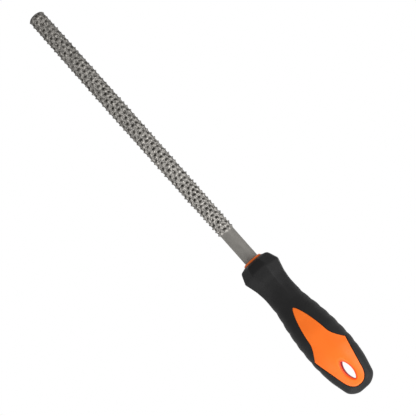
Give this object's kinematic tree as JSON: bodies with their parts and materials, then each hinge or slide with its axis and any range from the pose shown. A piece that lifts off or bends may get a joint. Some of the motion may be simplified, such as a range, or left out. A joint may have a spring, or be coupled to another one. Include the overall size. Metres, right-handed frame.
{
  "type": "wood rasp",
  "caption": "Round wood rasp: toothed steel bar with a plain neck, in an orange and black two-material handle with windowed broad faces and a hanging hole.",
  "frame": {"origin": "centre of the small flat at the butt end of the handle, on the blade's axis", "axes": "+X along the tool from the butt to the tip, +Y across the handle's broad face, +Z out of one broad face"},
  "size_m": [0.3047, 0.0292, 0.0248],
  "materials": {
    "steel": "bare ground steel, coarse teeth with dark gullets, dull plain neck",
    "orange_plastic": "satin moulded hard plastic",
    "black_rubber": "matt soft rubber with fine texture on the edges"
  },
  "bodies": {
    "root": {"rasp_blade": "steel", "handle_core": "orange_plastic", "soft_grip": "black_rubber"}
  },
  "joints": []
}
